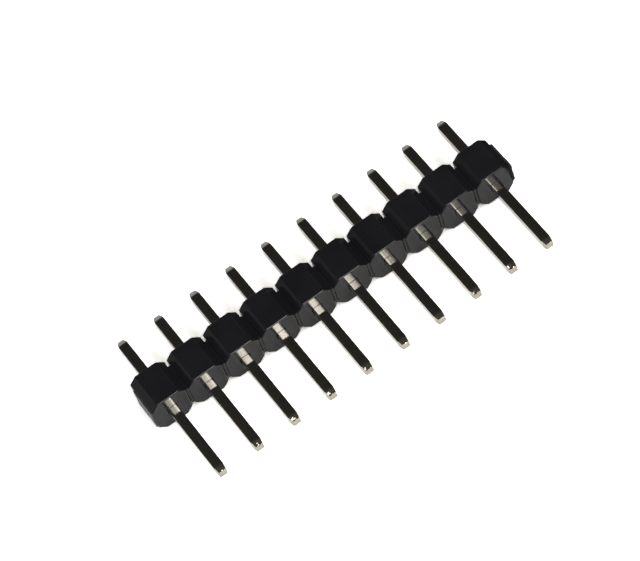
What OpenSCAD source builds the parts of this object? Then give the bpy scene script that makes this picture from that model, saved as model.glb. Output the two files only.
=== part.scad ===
// Pin header strip: a row of square pins held in one moulded strip of eight-sided cells.
// It lies on its side: X runs along the row, the mating posts point to -Y, the solder tails to +Y.
// Z = 0 is the flat side it rests on. All sizes are in millimetres.

/* [Row] */
// Distance from one pin to the next
pitch = 2.54; // [2:0.01:3.2]

/* [Moulded cells] */
// Slot between one cell and the next, which is also the length of a web
cell_slot = 0.17; // [0.1:0.01:0.3]
// Height of a cell, from the side it rests on to the opposite side
cell_h = 2.54; // [2.0:0.02:3.2]
// Depth of a cell along the pins
cell_d = 2.54; // [2.0:0.02:3.2]
// Size of the flat cut across each long corner of a cell
corner_cut = 0.46; // [0.3:0.01:0.6]
// Size of the small bevel round both ends of a cell
edge_cut = 0.05; // [0.02:0.01:0.1]

/* [Webs between cells] */
// How far the top and bottom of a web lie inside the cells' flat sides
web_inset = 0.1; // [0.05:0.01:0.3]
// How far the web lies behind the cells' mating face
web_front_set = 0.1; // [0.02:0.01:0.2]
// How far the web lies behind the cells' board face
web_back_set = 0.45; // [0.1:0.05:0.6]
// Remnant of the broken web on the strip's -X end
stub_left = 0.09; // [0.02:0.01:0.2]
// Remnant of the broken web on the strip's +X end
stub_right = 0.16; // [0.02:0.01:0.2]

/* [Pins] */
// Side of the square wire
pin_w = 0.64; // [0.52:0.01:0.8]
// Radius along the wire's four edges
pin_r = 0.05; // [0.03:0.01:0.1]
// Length of the mating post, from the cell's face to its tip
post_len = 5.45; // [4:0.05:9]
// Length of the solder tail, from the cell's face to its tip
tail_len = 3.3; // [2:0.05:6]
// Length of the coined taper on the mating post
post_taper = 0.5; // [0.3:0.05:0.8]
// Side of the square left at the post's tip
post_tip = 0.42; // [0.25:0.01:0.5]
// Length of the coined taper on the solder tail
tail_taper = 0.35; // [0.2:0.05:0.6]
// Side of the square left at the tail's tip
tail_tip = 0.36; // [0.2:0.01:0.5]

/* [Retention in the cell] */
// How far each barb stands out of the pin's side
barb_out = 0.05; // [0.02:0.01:0.1]
// Length of a barb along the pin
barb_len = 0.8; // [0.5:0.05:1.2]
// Height of a barb across the pin
barb_h = 0.4; // [0.2:0.05:0.45]
// Length of each sloping end of a barb
barb_slope = 0.15; // [0.05:0.01:0.2]
// Clearance between the pin and its hole, away from the barbs' crests
hole_gap = 0.01; // [0.005:0.005:0.03]
// Size of the lead-in round each hole on the board face
lead_in = 0.1; // [0.05:0.01:0.2]

/* [Hidden] */
count = 10;
cell_w = pitch - cell_slot;
pin_len = post_len + cell_d + tail_len;
face_y = post_len - pin_len / 2;     // the cells' mating face
mid_y = face_y + cell_d / 2;         // the cells' middle
mid_z = cell_h / 2;                  // the pins' axis
cut_span = (cell_w + cell_h) / sqrt(2) - corner_cut * sqrt(2);   // across opposite corner cuts
web_h = cell_h - 2 * corner_cut - 2 * web_inset;
web_d = cell_d - web_front_set - web_back_set;
web_y = face_y + web_front_set + web_d / 2;
hole_w = pin_w + 2 * hole_gap;
mouth_w = hole_w + 2 * lead_in;
past = 1;                            // how far a cutting shape runs past what it cuts
$fn = 48;

// Centre of cell i along the row, with the first cell at the -X end
function cell_x(i) = (i - (count - 1) / 2) * pitch;

// A w by h rectangle about the origin with its corners rounded to radius r
module rounded_rect(w, h, r) {
    square([w - 2 * r, h], center = true);
    square([w, h - 2 * r], center = true);
    for (x = [-1, 1], y = [-1, 1])
        translate([x * (w / 2 - r), y * (h / 2 - r)]) circle(r);
}

// A w by h rectangle about the origin with its corners bevelled by c
module bevelled_rect(w, h, c) {
    polygon([
        [-w / 2 + c, -h / 2], [w / 2 - c, -h / 2], [w / 2, -h / 2 + c], [w / 2, h / 2 - c],
        [w / 2 - c, h / 2], [-w / 2 + c, h / 2], [-w / 2, h / 2 - c], [-w / 2, -h / 2 + c]]);
}

// Stands a plan drawn in X and Z along the Y axis, centred on the origin
module along_y(length) {
    rotate([90, 0, 0]) linear_extrude(length, center = true) children();
}

// A slab as deep as a cell and w across, with its four long edges bevelled, turned about Y
module edge_slab(w, turn) {
    rotate([0, turn, 0])
        linear_extrude(cell_w + cell_h, center = true) bevelled_rect(w, cell_d, edge_cut);
}

// One cell: four slabs crossing at 45 degrees leave eight sides with every end edge bevelled
module cell_solid() {
    intersection() {
        edge_slab(cell_w, 0);
        edge_slab(cell_h, 90);
        edge_slab(cut_span, 45);
        edge_slab(cut_span, -45);
    }
}

// The web from x0 to x1, set back from both faces of the cells
module web(x0, x1) {
    translate([x0, web_y - web_d / 2, mid_z - web_h / 2]) cube([x1 - x0, web_d, web_h]);
}

// The square hole, the slots that the barbs sit in, and the lead-in on the board face
module pin_hole() {
    along_y(cell_d + past) rounded_rect(hole_w, hole_w, pin_r + hole_gap);
    cube([pin_w + 2 * barb_out, barb_len + 2 * hole_gap, barb_h + 2 * hole_gap], center = true);
    translate([0, cell_d / 2, 0]) intersection() {
        mouth_wedge();
        rotate([0, 90, 0]) mouth_wedge();
    }
}

// A wedge along Z that widens from the hole's width to the mouth's width at the board face
module mouth_wedge() {
    linear_extrude(mouth_w + past, center = true) polygon([
        [-hole_w / 2, -lead_in], [hole_w / 2, -lead_in],
        [mouth_w / 2, 0], [mouth_w / 2, lead_in], [-mouth_w / 2, lead_in], [-mouth_w / 2, 0]]);
}

// The moulded strip: cells in a row, the webs between them and the broken web at each end
module housing() {
    root = (cell_w - hole_w) / 4;    // how far a web is rooted in the cell beside it
    left = cell_x(0) - cell_w / 2;
    right = cell_x(count - 1) + cell_w / 2;
    color([0.06, 0.06, 0.065]) difference() {
        union() {
            for (i = [0:count - 1]) translate([cell_x(i), mid_y, mid_z]) cell_solid();
            for (i = [1:count - 1])
                web(cell_x(i) - cell_w / 2 - cell_slot - root, cell_x(i) - cell_w / 2 + root);
            web(left - stub_left, left + root);
            web(right - root, right + stub_right);
        }
        for (i = [0:count - 1]) translate([cell_x(i), mid_y, mid_z]) pin_hole();
    }
}

// Outline of a pin with its two tapered tips, drawn with the mating end down
module tapered_outline() {
    half = pin_len / 2;
    polygon([
        [-post_tip / 2, -half], [post_tip / 2, -half],
        [pin_w / 2, -half + post_taper], [pin_w / 2, half - tail_taper],
        [tail_tip / 2, half], [-tail_tip / 2, half],
        [-pin_w / 2, half - tail_taper], [-pin_w / 2, -half + post_taper]]);
}

// Both barbs of a pin, one on each side, with ends that slope up out of the wire
module barbs() {
    crest = pin_w / 2 + barb_out;
    foot = pin_w / 2 - barb_out;
    half = barb_len / 2;
    linear_extrude(barb_h, center = true) polygon([
        [-foot, -half], [foot, -half], [crest, -half + barb_slope], [crest, half - barb_slope],
        [foot, half], [-foot, half], [-crest, half - barb_slope], [-crest, -half + barb_slope]]);
}

// Pin i: square wire coined to a four-sided taper at both ends, with barbs inside its cell
module pin(i) {
    color([0.78, 0.77, 0.72]) translate([cell_x(i), 0, mid_z]) {
        intersection() {
            along_y(pin_len + past) rounded_rect(pin_w, pin_w, pin_r);
            linear_extrude(pin_w + past, center = true) tapered_outline();
            rotate([0, 90, 0]) linear_extrude(pin_w + past, center = true) tapered_outline();
        }
        translate([0, mid_y, 0]) barbs();
    }
}

housing();
pin(0);  // pin_01
pin(1);  // pin_02
pin(2);  // pin_03
pin(3);  // pin_04
pin(4);  // pin_05
pin(5);  // pin_06
pin(6);  // pin_07
pin(7);  // pin_08
pin(8);  // pin_09
pin(9);  // pin_10
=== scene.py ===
import math

import bmesh
import bpy
from mathutils import Matrix, Vector, noise


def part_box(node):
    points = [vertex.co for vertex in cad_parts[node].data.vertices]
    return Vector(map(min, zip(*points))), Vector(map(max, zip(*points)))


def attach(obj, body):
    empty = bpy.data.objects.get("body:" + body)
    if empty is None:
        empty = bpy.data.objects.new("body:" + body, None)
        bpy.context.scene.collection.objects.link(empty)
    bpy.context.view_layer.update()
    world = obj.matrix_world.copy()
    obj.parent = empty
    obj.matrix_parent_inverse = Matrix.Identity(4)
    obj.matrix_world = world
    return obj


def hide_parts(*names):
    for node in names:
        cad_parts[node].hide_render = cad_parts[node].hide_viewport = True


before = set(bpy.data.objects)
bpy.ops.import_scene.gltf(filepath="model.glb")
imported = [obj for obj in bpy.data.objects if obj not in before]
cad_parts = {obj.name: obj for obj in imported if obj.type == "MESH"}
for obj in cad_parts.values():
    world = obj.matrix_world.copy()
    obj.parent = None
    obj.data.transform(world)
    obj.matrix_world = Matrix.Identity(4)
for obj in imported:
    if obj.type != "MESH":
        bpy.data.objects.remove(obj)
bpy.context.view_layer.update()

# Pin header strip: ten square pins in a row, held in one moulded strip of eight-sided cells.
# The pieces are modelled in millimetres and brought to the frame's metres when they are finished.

scene = bpy.context.scene
MM = 1000.0

# ---------------------------------------------------------------- sizes, read from the CAD nodes
PIN_NODES = sorted(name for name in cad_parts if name.startswith("pin_"))
PIN_COUNT = len(PIN_NODES)


def box_mm(node):
    """Lowest and highest corner of a CAD node, in millimetres."""
    low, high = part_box(node)
    return low * MM, high * MM


first_low, first_high = box_mm(PIN_NODES[0])
last_low, last_high = box_mm(PIN_NODES[-1])
strip_low, strip_high = box_mm("housing")

FIRST_X = (first_low.x + first_high.x) / 2
LAST_X = (last_low.x + last_high.x) / 2
PITCH = (LAST_X - FIRST_X) / (PIN_COUNT - 1)
AXIS_Z = (first_low.z + first_high.z) / 2
POST_END = first_low.y
TAIL_END = first_high.y

# The moulded cells
CELL_SLOT = 0.17
CELL_W = PITCH - CELL_SLOT
CELL_H = strip_high.z - strip_low.z
CELL_FRONT = strip_low.y
CELL_BACK = strip_high.y
CELL_D = CELL_BACK - CELL_FRONT
CELL_MID = (CELL_FRONT + CELL_BACK) / 2
CORNER_CUT = 0.46
EDGE_ROUND = 0.08
SIDE_ROUND = 0.03
ROUND_SEGMENTS = 4
# The flat that eases a cell's front edge beside the slot, on its +X side
SLOT_EASE_ACROSS, SLOT_EASE_DEEP = 0.12, 0.09

# The webs between them
WEB_FRONT_SET, WEB_BACK_SET, WEB_INSET = 0.1, 0.45, 0.04
WEB_FRONT = CELL_FRONT + WEB_FRONT_SET
WEB_BACK = CELL_BACK - WEB_BACK_SET
WEB_LOW = strip_low.z + CORNER_CUT + WEB_INSET
WEB_HIGH = strip_high.z - CORNER_CUT - WEB_INSET

# The broken webs' stubs: how long each is, how it narrows, and how deep the tear goes as a share
# of its length
STUB_LEFT = (FIRST_X - CELL_W / 2) - strip_low.x
STUB_RIGHT = strip_high.x - (LAST_X + CELL_W / 2)
STUB_NECK = (0.99, 0.97)
TEAR_CUTS = 15
TEAR_COARSE, TEAR_FINE, TEAR_MOST = 0.22, 0.12, 0.5
TEAR_GRAIN, TEAR_FINE_GRAIN = (2.3, 3.1), 9.0
TEAR_FINE_APART = 7
RIM_WORN, RIM_WORN_IN = 0.05, 0.06

# The drawn wire
WIRE = first_high.z - first_low.z
WIRE_ROUND = 0.05
WIRE_SEGMENTS = 5
# Its flats are bowed: lines where they bend, then how much and how steeply they fall away
CROWN_LINES = (0.09, 0.17, 0.225)
SIDE_BOW = (0.65, 4)
TOP_BOW_LEFT = (110, 8)
TOP_BOW_RIGHT = (0.95, 4)

# Each coined tip: how long it is, the square left at its end, and how late it closes in
POST_TAPER, POST_TIP, POST_BULGE = 0.5, 0.5, 2.4
TAIL_TAPER, TAIL_TIP, TAIL_BULGE = 0.45, 0.38, 1.5
TIP_STEPS = 10
TIP_ROUND = 0.025
TIP_SEGMENTS = 3
# A face that turns less than this toward the pin's end belongs to the taper, not to the cut
TAPER_FACING = 0.9

# The barbs, with the length of their level crest, and the slots and hole they sit in
BARB_OUT = 0.05
BARB_LEN = 0.8
BARB_CREST = 0.5
BARB_HIGH = 0.4
HOLE_GAP = 0.01
HOLE_EASE = 0.025
LEAD_IN = 0.1
CORE_PAST = 0.5

# A face belongs to a cut end if it faces along the pin and lies this near the tip
END_FACING, END_SKIN = 0.4, 0.03

# Wear at the cut ends: how far back it reaches, and how much it draws in and roughens
POST_WORN, TAIL_WORN = 0.26, 0.16
WORN_IN = 0.05
WORN_LEAST = 0.35
WORN_ACROSS, WORN_UPRIGHT = 2.2, 0.8
WORN_GRAIN, WORN_FINE_GRAIN, WORN_FINE = 6.0, 15.0, 0.5
WORN_PER_PIN, WORN_PER_END = 3.7, 5.1
END_ROUGH = 0.015
END_LEAST = 0.3

# Dents on each post's upper tip facet, then nicks in its upper rim: place across, place back
# from the end, and depth
DENTS = ((0, 0, 0), (0, 0.2, 0.05), (-0.09, 0.13, 0.085), (-0.14, 0.13, 0.085),
         (-0.15, 0.1, 0.07), (0, 0, 0), (0, 0, 0), (-0.12, 0.14, 0.06), (-0.2, 0.2, 0.085),
         (0, 0, 0))
RIM_NICKS = ((-0.01, 0, 0.05), (0, 0, 0.07), (0, 0, 0.055), (0.03, 0, 0.05), (-0.03, 0, 0.04),
             (0, 0, 0.045), (0.02, 0, 0.03), (0, 0, 0.05), (0.02, 0, 0.05), (0, 0, 0.03))
# How wide a dent is for its depth
DENT_REACH = 1.8

# Nearer than NEAR is the same place. FINE is for bisects and DOUBLE for merging corners.
NEAR = 0.002
FINE = 0.0001
DOUBLE = 0.0005
# This near a pin's end is its cut
END_LAYER = NEAR * 3
# Over SQUARE a direction runs along an axis, give or take; over FLAT it does exactly
SQUARE = 0.99
FLAT = 0.999
SMOOTH_UNDER = math.radians(30)
# A far spot off every line of symmetry
SORT_FROM = (31.7, -23.9, 11.3)


# ---------------------------------------------------------------- bench tools
def put_down():
    """Leaves edit mode with nothing selected."""
    if bpy.context.object and bpy.context.object.mode != "OBJECT":
        bpy.ops.object.mode_set(mode="OBJECT")
    bpy.ops.object.select_all(action="DESELECT")


def take(obj):
    """Makes obj the only selected object."""
    put_down()
    obj.select_set(True)
    bpy.context.view_layer.objects.active = obj
    return obj


def start_block(name, size, place):
    """A block of that size at that place, ready to be worked in edit mode."""
    put_down()
    bpy.ops.mesh.primitive_cube_add(size=1, location=place, scale=size)
    block = bpy.context.object
    block.name = name
    block.data.name = name
    bpy.ops.object.transform_apply(location=True, rotation=True, scale=True)
    bpy.ops.object.mode_set(mode="EDIT")
    bpy.ops.mesh.select_all(action="DESELECT")
    return block


def pick_faces(wanted):
    """Selects the faces that pass wanted(centre, normal) and no others."""
    bpy.ops.mesh.select_mode(type="FACE")
    bpy.ops.mesh.select_all(action="DESELECT")
    mesh = bmesh.from_edit_mesh(bpy.context.object.data)
    for face in mesh.faces:
        if wanted(face.calc_center_median(), face.normal):
            face.select_set(True)
    bmesh.update_edit_mesh(bpy.context.object.data)


def pick_edges(wanted):
    """Selects the edges that pass wanted(edge) and no others."""
    bpy.ops.mesh.select_mode(type="EDGE")
    bpy.ops.mesh.select_all(action="DESELECT")
    mesh = bmesh.from_edit_mesh(bpy.context.object.data)
    for edge in mesh.edges:
        if wanted(edge):
            edge.select_set(True)
    bmesh.update_edit_mesh(bpy.context.object.data)


def edge_line(edge):
    """Middle and direction of an edge."""
    a, b = edge.verts[0].co, edge.verts[1].co
    return (a + b) / 2, (b - a).normalized()


def finish_shape(obj):
    """Merges doubles, turns the faces outward, shades the rounds smooth and keeps the flats flat.

    The corners and faces are put in order of their distance from a far spot, so that their order
    doesn't hang on how they were made.
    """
    take(obj)
    bpy.ops.object.mode_set(mode="EDIT")
    bpy.ops.mesh.select_all(action="SELECT")
    bpy.ops.mesh.remove_doubles(threshold=DOUBLE)
    bpy.ops.mesh.normals_make_consistent(inside=False)
    scene.cursor.location = SORT_FROM
    bpy.ops.mesh.sort_elements(type="CURSOR_DISTANCE", elements={"VERT", "EDGE", "FACE"})
    bpy.ops.object.mode_set(mode="OBJECT")
    bpy.ops.object.shade_smooth_by_angle(angle=SMOOTH_UNDER)
    weigh = obj.modifiers.new("even flats", "WEIGHTED_NORMAL")
    weigh.keep_sharp = True
    bpy.ops.object.modifier_apply(modifier=weigh.name)


def bring_to_frame(obj):
    """Scales a finished piece from millimetres to metres about the origin, into its mesh."""
    take(obj)
    bpy.ops.transform.resize(value=(1 / MM, 1 / MM, 1 / MM), center_override=(0, 0, 0))
    bpy.ops.object.transform_apply(location=True, rotation=True, scale=True)


# ---------------------------------------------------------------- pins
def crown_flats():
    """Bows the wire's four flats very slightly, as drawing leaves them, highest along the middle."""
    edge = WIRE / 2 - WIRE_ROUND

    def bow(offset, amount, power):
        return amount * min(abs(offset), edge) ** power

    for offset in (0.0,) + CROWN_LINES + tuple(-line for line in CROWN_LINES):
        for across in (Vector((1, 0, 0)), Vector((0, 0, 1))):
            bpy.ops.mesh.select_all(action="SELECT")
            bpy.ops.mesh.bisect(plane_co=Vector((FIRST_X, 0, AXIS_Z)) + across * offset,
                                plane_no=across, threshold=FINE)
    mesh = bmesh.from_edit_mesh(bpy.context.object.data)
    for corner in mesh.verts:
        x, z = corner.co.x - FIRST_X, corner.co.z - AXIS_Z
        if abs(z) > edge - NEAR:
            corner.co.z -= math.copysign(bow(x, *(TOP_BOW_LEFT if x < 0 else TOP_BOW_RIGHT)), z)
        if abs(x) > edge - NEAR:
            corner.co.x -= math.copysign(bow(z, *SIDE_BOW), x)
    bmesh.update_edit_mesh(bpy.context.object.data)


def coin_tip(end_y, side, taper, tip, bulge):
    """Draws the wire's end down to a smaller square, step by step, and eases the cut edge."""
    full_y = end_y - side * taper
    pick_faces(lambda c, n: n.y * side > SQUARE)
    before = 1
    for step in range(1, TIP_STEPS + 1):
        now = 1 - (1 - tip / WIRE) * (step / TIP_STEPS) ** bulge
        bpy.ops.mesh.extrude_region_move(
            TRANSFORM_OT_translate={"value": (0, side * taper / TIP_STEPS, 0)})
        bpy.ops.transform.resize(value=(now / before, 1, now / before),
                                 center_override=(FIRST_X, full_y, AXIS_Z))
        before = now
    pick_edges(lambda e: all(abs(v.co.y - end_y) < NEAR for v in e.verts)
               and any(abs(face.normal.y) < TAPER_FACING for face in e.link_faces))
    bpy.ops.mesh.bevel(offset=TIP_ROUND, segments=TIP_SEGMENTS, affect="EDGES")


def raise_barb(side):
    """Upsets a low barb with sloping ends out of one side of the wire, where the cell grips it."""
    face_x = FIRST_X + side * WIRE / 2

    def on_side(centre, normal):
        return normal.x * side > SQUARE

    for y in (CELL_MID - BARB_LEN / 2, CELL_MID + BARB_LEN / 2):
        pick_faces(on_side)
        bpy.ops.mesh.bisect(plane_co=(face_x, y, AXIS_Z), plane_no=(0, 1, 0), threshold=FINE)
    for z in (AXIS_Z - BARB_HIGH / 2, AXIS_Z + BARB_HIGH / 2):
        pick_faces(lambda c, n: on_side(c, n) and abs(c.y - CELL_MID) < BARB_LEN / 2)
        bpy.ops.mesh.bisect(plane_co=(face_x, CELL_MID, z), plane_no=(0, 0, 1), threshold=FINE)
    pick_faces(lambda c, n: on_side(c, n) and abs(c.y - CELL_MID) < BARB_LEN / 2
               and abs(c.z - AXIS_Z) < BARB_HIGH / 2)
    bpy.ops.mesh.extrude_region_move(TRANSFORM_OT_translate={"value": (side * BARB_OUT, 0, 0)})
    bpy.ops.transform.resize(value=(1, BARB_CREST / BARB_LEN, 1),
                             center_override=(face_x, CELL_MID, AXIS_Z))


def make_pin():
    """One square pin, standing at the first cell, in millimetres."""
    low, high = POST_END + POST_TAPER, TAIL_END - TAIL_TAPER
    pin = start_block("first_pin", (WIRE, high - low, WIRE), (FIRST_X, (low + high) / 2, AXIS_Z))
    pick_edges(lambda e: abs(edge_line(e)[1].y) > SQUARE)
    bpy.ops.mesh.bevel(offset=WIRE_ROUND, segments=WIRE_SEGMENTS, affect="EDGES")
    crown_flats()
    coin_tip(POST_END, -1, POST_TAPER, POST_TIP, POST_BULGE)
    coin_tip(TAIL_END, 1, TAIL_TAPER, TAIL_TIP, TAIL_BULGE)
    raise_barb(1)
    raise_barb(-1)
    return pin


def wear_tips(pin, step):
    """Wears both cut ends and dents the post's tip, differently on every pin.

    The wear only draws the ends in, so they stay inside the wire.
    """
    middle_x = FIRST_X + PITCH * step
    take(pin)
    bpy.ops.object.mode_set(mode="EDIT")
    mesh = bmesh.from_edit_mesh(pin.data)
    for corner in mesh.verts:
        from_axis = Vector((corner.co.x - middle_x, 0, corner.co.z - AXIS_Z))
        for end_y, side, reach in ((POST_END, -1, POST_WORN), (TAIL_END, 1, TAIL_WORN)):
            back = (end_y - corner.co.y) * side
            if back > reach:
                continue
            near_end = 1 - back / reach
            seed = Vector((step * WORN_PER_PIN, side * WORN_PER_END, 0))
            coarse = noise.noise(seed + corner.co * WORN_GRAIN)
            rough = coarse + WORN_FINE * noise.noise(seed + corner.co * WORN_FINE_GRAIN)
            drawn_in = WORN_IN * near_end * max(0.0, WORN_LEAST + rough)
            corner.co.x -= from_axis.x * drawn_in * WORN_ACROSS
            corner.co.z -= from_axis.z * drawn_in * WORN_UPRIGHT
            if back < END_LAYER:
                corner.co.y -= side * END_ROUGH * max(0.0, END_LEAST + rough)
        if from_axis.z > 0:
            for x, y, deep in (DENTS[step], RIM_NICKS[step]):
                away = math.hypot(from_axis.x - x, corner.co.y - POST_END - y)
                press = min(1.0, from_axis.z / (POST_TIP / 2))
                corner.co.z -= max(0.0, deep - away / DENT_REACH) * press
    bmesh.update_edit_mesh(pin.data)
    put_down()


# ---------------------------------------------------------------- moulded strip
def make_hole_core():
    """The steel cores that leave one pin hole: a square bar that flares at both faces of the
    cell, and a block for the barb slots.
    """
    hole = WIRE + 2 * HOLE_GAP
    core = start_block("hole_core", (hole, CELL_D + 2 * CORE_PAST, hole),
                       (FIRST_X, CELL_MID, AXIS_Z))
    pick_edges(lambda e: abs(edge_line(e)[1].y) > SQUARE)
    bpy.ops.mesh.bevel(offset=WIRE_ROUND + HOLE_GAP, segments=WIRE_SEGMENTS, affect="EDGES")
    for face_y, side, ease in ((CELL_BACK, 1, LEAD_IN), (CELL_FRONT, -1, HOLE_EASE)):
        for y in (face_y, face_y - side * ease):
            bpy.ops.mesh.select_all(action="SELECT")
            bpy.ops.mesh.bisect(plane_co=(FIRST_X, y, AXIS_Z), plane_no=(0, 1, 0),
                                threshold=FINE)
        bpy.ops.mesh.select_mode(type="VERT")
        bpy.ops.mesh.select_all(action="DESELECT")
        mesh = bmesh.from_edit_mesh(core.data)
        for corner in mesh.verts:
            if (corner.co.y - face_y) * side > -NEAR:
                corner.select_set(True)
        bmesh.update_edit_mesh(core.data)
        wider = (hole + 2 * ease) / hole
        bpy.ops.transform.resize(value=(wider, 1, wider),
                                 center_override=(FIRST_X, face_y, AXIS_Z))
    put_down()
    slots = start_block("barb_core", (WIRE + 2 * BARB_OUT, BARB_LEN + 2 * HOLE_GAP,
                                      BARB_HIGH + 2 * HOLE_GAP), (FIRST_X, CELL_MID, AXIS_Z))
    put_down()
    return core, slots


def take_away(block, cutter):
    """Cuts one block with another and throws the cutter away."""
    take(block)
    cut = block.modifiers.new("cut", "BOOLEAN")
    cut.operation = "DIFFERENCE"
    cut.solver = "EXACT"
    cut.object = cutter
    bpy.ops.object.modifier_apply(modifier=cut.name)
    take(cutter)
    bpy.ops.object.delete()


def make_cell():
    """The first cell: a block with its corners cut, its edges eased, web seats and a pin hole."""
    cell = start_block("cell", (CELL_W, CELL_D, CELL_H), (FIRST_X, CELL_MID, CELL_H / 2))
    pick_edges(lambda e: abs(edge_line(e)[1].y) > SQUARE)
    bpy.ops.mesh.bevel(offset=CORNER_CUT, segments=1, affect="EDGES")
    bpy.ops.mesh.select_all(action="SELECT")
    bpy.ops.mesh.bisect(
        plane_co=(FIRST_X + CELL_W / 2 - SLOT_EASE_ACROSS, CELL_FRONT, AXIS_Z),
        plane_no=(SLOT_EASE_DEEP, -SLOT_EASE_ACROSS, 0),
        use_fill=True, clear_outer=True, threshold=FINE)
    mesh = bmesh.from_edit_mesh(cell.data)
    # The eased slot edge keeps its two corners, and the long edges get a smaller round
    weight = mesh.edges.layers.float.new("bevel_weight_edge")
    for edge in mesh.edges:
        middle, along = edge_line(edge)
        if any(NEAR < abs(face.normal.x * face.normal.y) for face in edge.link_faces):
            edge[weight] = 0
        elif abs(along.y) > SQUARE or middle.x < FIRST_X - CELL_W / 2 + NEAR:
            edge[weight] = SIDE_ROUND / EDGE_ROUND
        else:
            edge[weight] = 1
    bmesh.update_edit_mesh(cell.data)
    put_down()
    take(cell)
    ease = cell.modifiers.new("ease", "BEVEL")
    ease.limit_method = "WEIGHT"
    ease.width, ease.segments = EDGE_ROUND, ROUND_SEGMENTS
    bpy.ops.object.modifier_apply(modifier=ease.name)
    bpy.ops.object.mode_set(mode="EDIT")

    def is_side(centre, normal):
        return abs(normal.x) > FLAT

    for y in (WEB_FRONT, WEB_BACK):
        pick_faces(is_side)
        bpy.ops.mesh.bisect(plane_co=(FIRST_X, y, AXIS_Z), plane_no=(0, 1, 0), threshold=FINE)
    for z in (WEB_LOW, WEB_HIGH):
        pick_faces(lambda c, n: is_side(c, n) and WEB_FRONT < c.y < WEB_BACK)
        bpy.ops.mesh.bisect(plane_co=(FIRST_X, CELL_MID, z), plane_no=(0, 0, 1), threshold=FINE)
    put_down()
    core, slots = make_hole_core()
    take_away(cell, core)
    take_away(cell, slots)
    return cell


def is_web_seat(centre, normal):
    """Whether a face is the part of a cell's side that a web grows from."""
    return (abs(normal.x) > FLAT and WEB_FRONT < centre.y < WEB_BACK
            and WEB_LOW < centre.z < WEB_HIGH)


def join_cells(cell):
    """Ten cells in a row, with a web bridged across each slot between them."""
    cells = [cell]
    for step in range(1, PIN_COUNT):
        take(cell)
        bpy.ops.object.duplicate(linked=False)
        bpy.ops.transform.translate(value=(PITCH * step, 0, 0))
        cells.append(bpy.context.object)
    put_down()
    for one in cells:
        one.select_set(True)
    bpy.context.view_layer.objects.active = cell
    bpy.ops.object.join()
    bpy.ops.object.transform_apply(location=True, rotation=True, scale=True)
    bpy.ops.object.mode_set(mode="EDIT")
    for gap in range(PIN_COUNT - 1):
        middle = FIRST_X + (gap + 0.5) * PITCH
        pick_faces(lambda c, n: is_web_seat(c, n) and abs(c.x - middle) < CELL_SLOT)
        bpy.ops.mesh.bridge_edge_loops()
    put_down()
    return cell


def snap_web(strip, side, out):
    """Leaves the torn stub of a broken web on one end of the strip, out millimetres proud."""
    take(strip)
    end_x = FIRST_X - CELL_W / 2 if side < 0 else LAST_X + CELL_W / 2
    bpy.ops.object.mode_set(mode="EDIT")
    pick_faces(lambda c, n: is_web_seat(c, n) and abs(c.x - end_x) < NEAR)
    bpy.ops.mesh.extrude_region_move(TRANSFORM_OT_translate={"value": (side * out, 0, 0)})
    bpy.ops.transform.resize(value=(1, *STUB_NECK),
                             center_override=(end_x, (WEB_FRONT + WEB_BACK) / 2, AXIS_Z))
    bpy.ops.mesh.subdivide(number_cuts=TEAR_CUTS)
    tip_x = end_x + side * out
    mesh = bmesh.from_edit_mesh(strip.data)
    for corner in mesh.verts:
        if abs(corner.co.x - tip_x) < NEAR:
            place = corner.co
            coarse = noise.noise(Vector((side, place.y * TEAR_GRAIN[0],
                                         place.z * TEAR_GRAIN[1])))
            fine = noise.noise(Vector((side * TEAR_FINE_APART, place.y * TEAR_FINE_GRAIN,
                                       place.z * TEAR_FINE_GRAIN)))
            at_rim = min(place.y - WEB_FRONT, WEB_BACK - place.y,
                         place.z - WEB_LOW, WEB_HIGH - place.z)
            worn = RIM_WORN * max(0.0, 1 - at_rim / RIM_WORN_IN)
            torn = TEAR_COARSE * coarse + TEAR_FINE * fine + worn
            corner.co.x -= side * out * min(TEAR_MOST, max(0.0, torn))
    bmesh.update_edit_mesh(strip.data)
    put_down()


def make_strip():
    """The whole moulded strip, in millimetres."""
    strip = join_cells(make_cell())
    strip.name = strip.data.name = "cell_strip"
    snap_web(strip, -1, STUB_LEFT)
    snap_web(strip, 1, STUB_RIGHT)
    finish_shape(strip)
    return strip


# ---------------------------------------------------------------- materials
# The ranges of cloudy noise that the patterns use
CLOUDS, FLOW_CLOUDS, TEAR_CLOUDS = (0.3, 0.7), (0.35, 0.65), (0.35, 0.7)
FLECKS = (0.56, 0.68)

BLACK_DARK, BLACK_PALE = (0.0108, 0.0108, 0.0126), (0.0136, 0.0136, 0.0156)
MOULDING_ROUGHNESS = (0.10, 0.16)
MOULDING_IOR = 1.44

# A torn face is a little colder than grey in its dark and its pale parts
COLD_DARK, COLD_PALE = 1.08, 1.06

TIN_DULL, TIN_BRIGHT = (0.77, 0.74, 0.675), (0.83, 0.805, 0.75)
TIN_FLECK = (0.48, 0.45, 0.38)
TIN_ROUGHNESS = (0.06, 0.10)
# Towards the posts' ends the plating is thin and the wire shows through: where along Y, in
# metres, and how much
BARE_FROM = (-0.0056, -0.0052)
BARE_AMOUNT = 0.85
BARE_METAL = (0.47, 0.44, 0.35)
BRASS_DARK, BRASS_PALE = (0.43, 0.40, 0.32), (0.58, 0.56, 0.47)
BRASS_ROUGHNESS = (0.22, 0.38)


def new_material(name):
    """A material, its nodes and links, and the shader that is built up from them."""
    material = bpy.data.materials.new(name)
    material.use_nodes = True
    nodes, links = material.node_tree.nodes, material.node_tree.links
    shader = nodes["Principled BSDF"]
    return material, nodes, links, shader


def pattern_place(nodes, links, scale):
    """Places on the piece, stretched by scale along each axis."""
    where = nodes.new("ShaderNodeTexCoord")
    place = nodes.new("ShaderNodeMapping")
    place.inputs["Scale"].default_value = scale
    links.new(where.outputs["Object"], place.inputs["Vector"])
    return place.outputs["Vector"]


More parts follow.
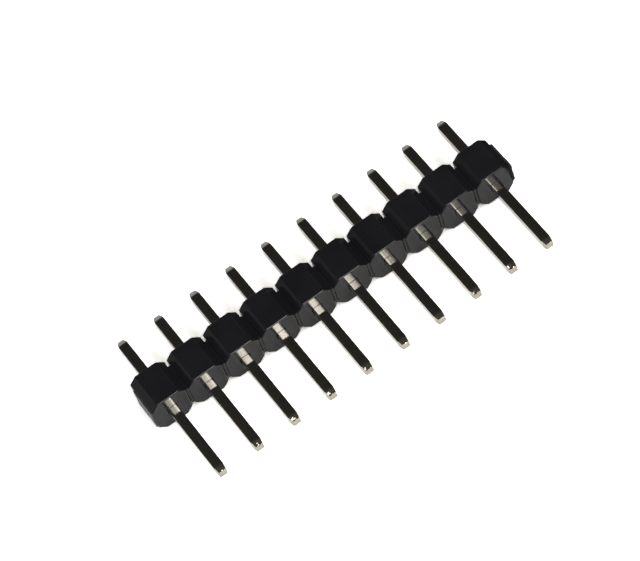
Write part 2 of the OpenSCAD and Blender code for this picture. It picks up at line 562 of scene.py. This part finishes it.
def noise_field(nodes, links, vector, scale, detail, rough=0.5):
    """Cloudy noise, with so many sizes of cloud and so strong a share for the small ones."""
    field = nodes.new("ShaderNodeTexNoise")
    field.inputs["Scale"].default_value = scale
    field.inputs["Detail"].default_value = detail
    field.inputs["Roughness"].default_value = rough
    links.new(vector, field.inputs["Vector"])
    return field.outputs["Fac"]


def span(nodes, links, value, taken, given, soft=False):
    """Stretches one range of a value to another, with soft ends if asked."""
    ranged = nodes.new("ShaderNodeMapRange")
    if soft:
        ranged.interpolation_type = "SMOOTHSTEP"
    ranged.inputs["From Min"].default_value, ranged.inputs["From Max"].default_value = taken
    ranged.inputs["To Min"].default_value, ranged.inputs["To Max"].default_value = given
    links.new(value, ranged.inputs["Value"])
    return ranged.outputs["Result"]


def two_colours(nodes, links, value, taken, colour_a, colour_b):
    """Runs from one colour to another while the value crosses a range."""
    ramp = nodes.new("ShaderNodeValToRGB")
    for stop, place, colour in zip(ramp.color_ramp.elements, taken, (colour_a, colour_b)):
        stop.position = place
        stop.color = (*colour, 1)
    links.new(value, ramp.inputs["Fac"])
    return ramp.outputs["Color"]


def blend(nodes, links, amount, under, colour):
    """Lays a colour over another by amount."""
    mix = nodes.new("ShaderNodeMix")
    mix.data_type = "RGBA"
    mix.inputs["B"].default_value = (*colour, 1)
    links.new(amount, mix.inputs["Factor"])
    links.new(under, mix.inputs["A"])
    return mix.outputs["Result"]


def relief(nodes, links, height, strength, distance):
    """Raises a fine texture from a value, up to that many metres high."""
    bump = nodes.new("ShaderNodeBump")
    bump.inputs["Strength"].default_value = strength
    bump.inputs["Distance"].default_value = distance
    links.new(height, bump.inputs["Height"])
    return bump.outputs["Normal"]


def black_moulding():
    """Glossy black moulding with faint flow clouds and a fine grain."""
    material, nodes, links, shader = new_material("black_moulding")
    shader.inputs["IOR"].default_value = MOULDING_IOR
    place = pattern_place(nodes, links, (1, 1, 1))
    clouds = noise_field(nodes, links, place, scale=420, detail=3)
    grain = noise_field(nodes, links, place, scale=9000, detail=2)
    links.new(two_colours(nodes, links, clouds, FLOW_CLOUDS, BLACK_DARK, BLACK_PALE),
              shader.inputs["Base Color"])
    links.new(span(nodes, links, clouds, CLOUDS, MOULDING_ROUGHNESS),
              shader.inputs["Roughness"])
    links.new(relief(nodes, links, grain, strength=0.25, distance=0.000004),
              shader.inputs["Normal"])
    return material


def torn_moulding(name, dark, pale, roughness, ior):
    """The same moulding where a web was snapped: duller, uneven and a little pale with stress."""
    material, nodes, links, shader = new_material(name)
    shader.inputs["IOR"].default_value = ior
    place = pattern_place(nodes, links, (1, 1, 1))
    tear = noise_field(nodes, links, place, scale=2600, detail=4, rough=0.65)
    links.new(two_colours(nodes, links, tear, TEAR_CLOUDS, (dark, dark, dark * COLD_DARK),
                          (pale, pale, pale * COLD_PALE)), shader.inputs["Base Color"])
    links.new(span(nodes, links, tear, CLOUDS, roughness), shader.inputs["Roughness"])
    links.new(relief(nodes, links, tear, strength=0.8, distance=0.00002),
              shader.inputs["Normal"])
    return material


def plated_wire():
    """Bright tin plating on drawn wire: fine lines along it, clouds of dulling and fine dust."""
    material, nodes, links, shader = new_material("plated_wire")
    shader.inputs["Metallic"].default_value = 1.0
    along = pattern_place(nodes, links, (1, 0.03, 1))
    even = pattern_place(nodes, links, (1, 1, 1))
    lines = noise_field(nodes, links, along, scale=9000, detail=3)
    dulling = noise_field(nodes, links, even, scale=900, detail=4, rough=0.6)
    dust = noise_field(nodes, links, even, scale=13000, detail=3, rough=0.6)
    tin = two_colours(nodes, links, dulling, CLOUDS, TIN_DULL, TIN_BRIGHT)
    flecks = span(nodes, links, dust, FLECKS, (0, 1))
    speckled = blend(nodes, links, flecks, tin, TIN_FLECK)
    sides = nodes.new("ShaderNodeSeparateXYZ")
    links.new(even, sides.inputs["Vector"])
    bare = span(nodes, links, sides.outputs["Y"], BARE_FROM, (BARE_AMOUNT, 0))
    links.new(blend(nodes, links, bare, speckled, BARE_METAL), shader.inputs["Base Color"])
    links.new(span(nodes, links, dulling, CLOUDS, TIN_ROUGHNESS), shader.inputs["Roughness"])
    links.new(relief(nodes, links, lines, strength=0.25, distance=0.000003),
              shader.inputs["Normal"])
    return material


def sheared_end():
    """Bare end of the wire where it was cut: pale brass with drag marks."""
    material, nodes, links, shader = new_material("sheared_end")
    shader.inputs["Metallic"].default_value = 1.0
    across = pattern_place(nodes, links, (0.15, 1, 1))
    drag = noise_field(nodes, links, across, scale=6000, detail=3, rough=0.6)
    links.new(two_colours(nodes, links, drag, CLOUDS, BRASS_DARK, BRASS_PALE),
              shader.inputs["Base Color"])
    links.new(span(nodes, links, drag, CLOUDS, BRASS_ROUGHNESS), shader.inputs["Roughness"])
    links.new(relief(nodes, links, drag, strength=0.4, distance=0.000006),
              shader.inputs["Normal"])
    return material


def give_slots(obj, main, other, wanted):
    """Two material slots: other goes on the faces that pass wanted(centre, normal)."""
    obj.data.materials.clear()
    obj.data.materials.append(main)
    obj.data.materials.append(other)
    for face in obj.data.polygons:
        face.material_index = 1 if wanted(face.center, face.normal) else 0


def is_cut_end(centre, normal):
    """Whether a face is part of either cut end of a pin."""
    return abs(normal.y) > END_FACING and (centre.y < POST_END + END_SKIN
                                           or centre.y > TAIL_END - END_SKIN)


# ---------------------------------------------------------------- the pieces in their places
pin = make_pin()
put_down()
pins = [pin]
for step in range(1, PIN_COUNT):
    take(pin)
    bpy.ops.object.duplicate(linked=False)
    bpy.ops.transform.translate(value=(PITCH * step, 0, 0))
    pins.append(bpy.context.object)
wire_look, end_look = plated_wire(), sheared_end()
for step, (node, one) in enumerate(zip(PIN_NODES, pins)):
    take(one)
    bpy.ops.object.transform_apply(location=True, rotation=True, scale=True)
    wear_tips(one, step)
    finish_shape(one)
    give_slots(one, wire_look, end_look, is_cut_end)
    one.name = one.data.name = "plated_" + node
    bring_to_frame(one)
    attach(one, "root")
    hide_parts(node)

strip = make_strip()
clean_break = torn_moulding("clean_break", dark=0.02, pale=0.045, roughness=(0.26, 0.4),
                            ior=MOULDING_IOR)
# The right stub's break is a rougher, duller copy of the torn moulding, and its darker colour is
# painted shade
rough_break_in_painted_shade = torn_moulding("rough_break_in_painted_shade", dark=0.010, pale=0.024, roughness=(0.6, 0.8),
                             ior=1.32)
give_slots(strip, black_moulding(), clean_break, lambda c, n: c.x < FIRST_X - CELL_W / 2 - NEAR)
# The right stub takes the copy that is darkened as painted shade
strip.data.materials.append(rough_break_in_painted_shade)
for face in strip.data.polygons:
    if face.center.x > LAST_X + CELL_W / 2 + NEAR:
        face.material_index = 2
bring_to_frame(strip)
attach(strip, "root")
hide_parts("housing")
put_down()


# ---------------------------------------------------------------- floor, light and camera
FLOOR_SIZE, FLOOR_DROP = 1, 0.000001
PAPER_TONE = 0.8
# How much brighter the paper is to the camera and in reflections than where it lights the part,
# and the little glow that only the camera sees
CAMERA_GAIN = 3.0
GLOSSY_GAIN = 1.45
CAMERA_LIFT = 0.05
# In reflections the paper carries a painted pool of light that ends past the +X end and behind the
# part:
# where it starts to fade and where it has faded, in metres, and what is left
PAINTED_POOL_ALONG = (0.0127, 0.0132)
PAINTED_POOL_BEHIND = (0.0072, 0.0095)
OUTSIDE_PAINTED_POOL = 0.01
# The room's colour from level at 0 to straight overhead at 1
ROOM = ((0.0, (0.4, 0.4, 0.4)), (0.22, (0.12, 0.12, 0.12)), (0.5, (0.05, 0.049, 0.046)),
        (0.83, (0.0182, 0.0174, 0.0162)), (1.0, (0.085, 0.082, 0.073)))
# The pale backdrop behind the part: how high its middle is, how wide it spreads, and its level
BACKDROP_UP = math.radians(12)
BACKDROP_INNER, BACKDROP_OUTER = math.radians(18), math.radians(28)
BACKDROP_LEVEL = 0.25


def pale_floor():
    """White paper, evenly bright to the camera, and bright to reflections only in a painted pool of
    light around the part.
    """
    put_down()
    bpy.ops.mesh.primitive_plane_add(size=FLOOR_SIZE, location=(0, 0, -FLOOR_DROP))
    floor = bpy.context.object
    floor.name = "pale_floor"
    material = bpy.data.materials.new("pale_floor")
    material.use_nodes = True
    nodes, links = material.node_tree.nodes, material.node_tree.links
    nodes.clear()
    out = nodes.new("ShaderNodeOutputMaterial")
    paper = nodes.new("ShaderNodeBsdfDiffuse")
    lift = nodes.new("ShaderNodeEmission")
    path = nodes.new("ShaderNodeLightPath")
    where = nodes.new("ShaderNodeTexCoord")
    parts = nodes.new("ShaderNodeSeparateXYZ")
    links.new(where.outputs["Object"], parts.inputs["Vector"])
    # Painted pool of light: to reflections the paper's colour fades out past the +X end and behind
    # the part
    both = nodes.new("ShaderNodeMath")
    both.operation = "MULTIPLY"
    for axis, fades, lit in zip("XY", (PAINTED_POOL_ALONG, PAINTED_POOL_BEHIND), both.inputs):
        links.new(span(nodes, links, parts.outputs[axis], fades, (1, OUTSIDE_PAINTED_POOL), soft=True), lit)
    painted_pool_gloss = nodes.new("ShaderNodeMath")
    painted_pool_gloss.operation = "MULTIPLY"
    painted_pool_gloss.inputs[1].default_value = PAPER_TONE * GLOSSY_GAIN
    links.new(both.outputs["Value"], painted_pool_gloss.inputs[0])
    to_camera = nodes.new("ShaderNodeMix")
    to_camera.data_type = "FLOAT"
    to_camera.inputs["A"].default_value = PAPER_TONE
    to_camera.inputs["B"].default_value = PAPER_TONE * CAMERA_GAIN
    links.new(path.outputs["Is Camera Ray"], to_camera.inputs["Factor"])
    to_gloss = nodes.new("ShaderNodeMix")
    to_gloss.data_type = "FLOAT"
    links.new(path.outputs["Is Glossy Ray"], to_gloss.inputs["Factor"])
    links.new(to_camera.outputs["Result"], to_gloss.inputs["A"])
    links.new(painted_pool_gloss.outputs["Value"], to_gloss.inputs["B"])
    links.new(to_gloss.outputs["Result"], paper.inputs["Color"])
    camera_lift = nodes.new("ShaderNodeMath")
    camera_lift.operation = "MULTIPLY"
    camera_lift.inputs[1].default_value = CAMERA_LIFT
    links.new(path.outputs["Is Camera Ray"], camera_lift.inputs[0])
    links.new(camera_lift.outputs["Value"], lift.inputs["Strength"])
    add = nodes.new("ShaderNodeAddShader")
    links.new(paper.outputs["BSDF"], add.inputs[0])
    links.new(lift.outputs["Emission"], add.inputs[1])
    links.new(add.outputs["Shader"], out.inputs["Surface"])
    floor.data.materials.append(material)


def studio_world():
    """A dim room, darkest where the camera hangs, with a pale backdrop low behind the part."""
    world = bpy.data.worlds.new("studio")
    scene.world = world
    world.use_nodes = True
    nodes, links = world.node_tree.nodes, world.node_tree.links
    nodes.clear()
    out = nodes.new("ShaderNodeOutputWorld")
    white = nodes.new("ShaderNodeBackground")
    room = nodes.new("ShaderNodeBackground")
    path = nodes.new("ShaderNodeLightPath")
    mix = nodes.new("ShaderNodeMixShader")
    where = nodes.new("ShaderNodeTexCoord")
    parts = nodes.new("ShaderNodeSeparateXYZ")
    ramp = nodes.new("ShaderNodeValToRGB")
    links.new(where.outputs["Generated"], parts.inputs["Vector"])
    links.new(parts.outputs["Z"], ramp.inputs["Fac"])
    elements = ramp.color_ramp.elements
    elements[0].position, elements[0].color = ROOM[0][0], (*ROOM[0][1], 1)
    elements[1].position, elements[1].color = ROOM[-1][0], (*ROOM[-1][1], 1)
    for place, colour in ROOM[1:-1]:
        added = elements.new(place)
        added.color = (*colour, 1)
    towards = nodes.new("ShaderNodeVectorMath")
    towards.operation = "DOT_PRODUCT"
    towards.inputs[1].default_value = (0, math.cos(BACKDROP_UP), math.sin(BACKDROP_UP))
    links.new(where.outputs["Generated"], towards.inputs[0])
    glow = span(nodes, links, towards.outputs["Value"],
                (math.cos(BACKDROP_OUTER), math.cos(BACKDROP_INNER)), (0, BACKDROP_LEVEL),
                soft=True)
    both = nodes.new("ShaderNodeVectorMath")
    both.operation = "ADD"
    links.new(ramp.outputs["Color"], both.inputs[0])
    links.new(glow, both.inputs[1])
    links.new(both.outputs["Vector"], room.inputs["Color"])
    links.new(path.outputs["Is Camera Ray"], mix.inputs["Fac"])
    links.new(room.outputs["Background"], mix.inputs[1])
    links.new(white.outputs["Background"], mix.inputs[2])
    white.inputs["Color"].default_value = (1, 1, 1, 1)
    links.new(mix.outputs["Shader"], out.inputs["Surface"])


WHITE, WARM, WARMER = (1, 1, 1), (1, 0.97, 0.9), (1, 0.96, 0.88)
# Name: azimuth, elevation, distance, width, height, level, tint
SOFT_BOXES = {
    "key_core": (13.2, 56, 0.59, 0.027, 0.32, 10, WARM),
    "key_box": (13.4, 56, 0.6, 0.062, 0.32, 7.6, WARM),
    "key_halo": (18.0, 56, 0.61, 0.09, 0.32, 1.1, WARMER),
    "front_fill": (0, 28, 0.6, 0.8, 0.22, 3.2, WHITE),
    "left_box": (-90, 44, 0.6, 0.5, 0.4, 2.0, WHITE),
    "right_box": (90, 44, 0.6, 0.5, 0.4, 2.0, WHITE),
}


def soft_box(name, azimuth, elevation, distance, wide, high, level, tint):
    """A soft box aimed at the part.

    Azimuth runs from -Y toward +X, and level is how bright the face of the box is.
    """
    a, e = math.radians(azimuth), math.radians(elevation)
    back = Vector((math.sin(a) * math.cos(e), -math.cos(a) * math.cos(e), math.sin(e)))
    lamp = bpy.data.lights.new(name, "AREA")
    lamp.shape = "RECTANGLE"
    lamp.size, lamp.size_y = wide, high
    lamp.energy = level * math.pi * wide * high
    lamp.color = tint
    box = bpy.data.objects.new(name, lamp)
    scene.collection.objects.link(box)
    box.location = back * distance
    box.rotation_euler = (-back).to_track_quat("-Z", "Y").to_euler()
    box.visible_camera = False


CAMERA_BACK = Vector((-0.15118, -0.54132, 0.82712))
CAMERA_AIM = Vector((-0.000117, 0.001262, 0.001384))
CAMERA_REACH = 0.204417
CAMERA_ROLL = math.radians(-21.654)
LENS, SENSOR = 199.04, 36
CLIP_NEAR, CLIP_FAR = 0.01, 10


def set_camera():
    """A long lens high in front of the part, rolled about its own axis."""
    lens = bpy.data.cameras.new("camera")
    camera = bpy.data.objects.new("camera", lens)
    scene.collection.objects.link(camera)
    lens.sensor_width = SENSOR
    lens.lens = LENS
    lens.clip_start, lens.clip_end = CLIP_NEAR, CLIP_FAR
    ahead = -CAMERA_BACK.normalized()
    right = ahead.cross(Vector((0, 0, 1))).normalized()
    up = right.cross(ahead)
    turned_up = up * math.cos(CAMERA_ROLL) - right * math.sin(CAMERA_ROLL)
    turned_right = right * math.cos(CAMERA_ROLL) + up * math.sin(CAMERA_ROLL)
    facing = Matrix((turned_right, turned_up, -ahead)).transposed()
    camera.matrix_world = Matrix.Translation(CAMERA_AIM - ahead * CAMERA_REACH) @ facing.to_4x4()
    scene.camera = camera


pale_floor()
studio_world()
for box_name, box_setting in SOFT_BOXES.items():
    soft_box(box_name, *box_setting)
set_camera()
scene.view_settings.view_transform = "Standard"
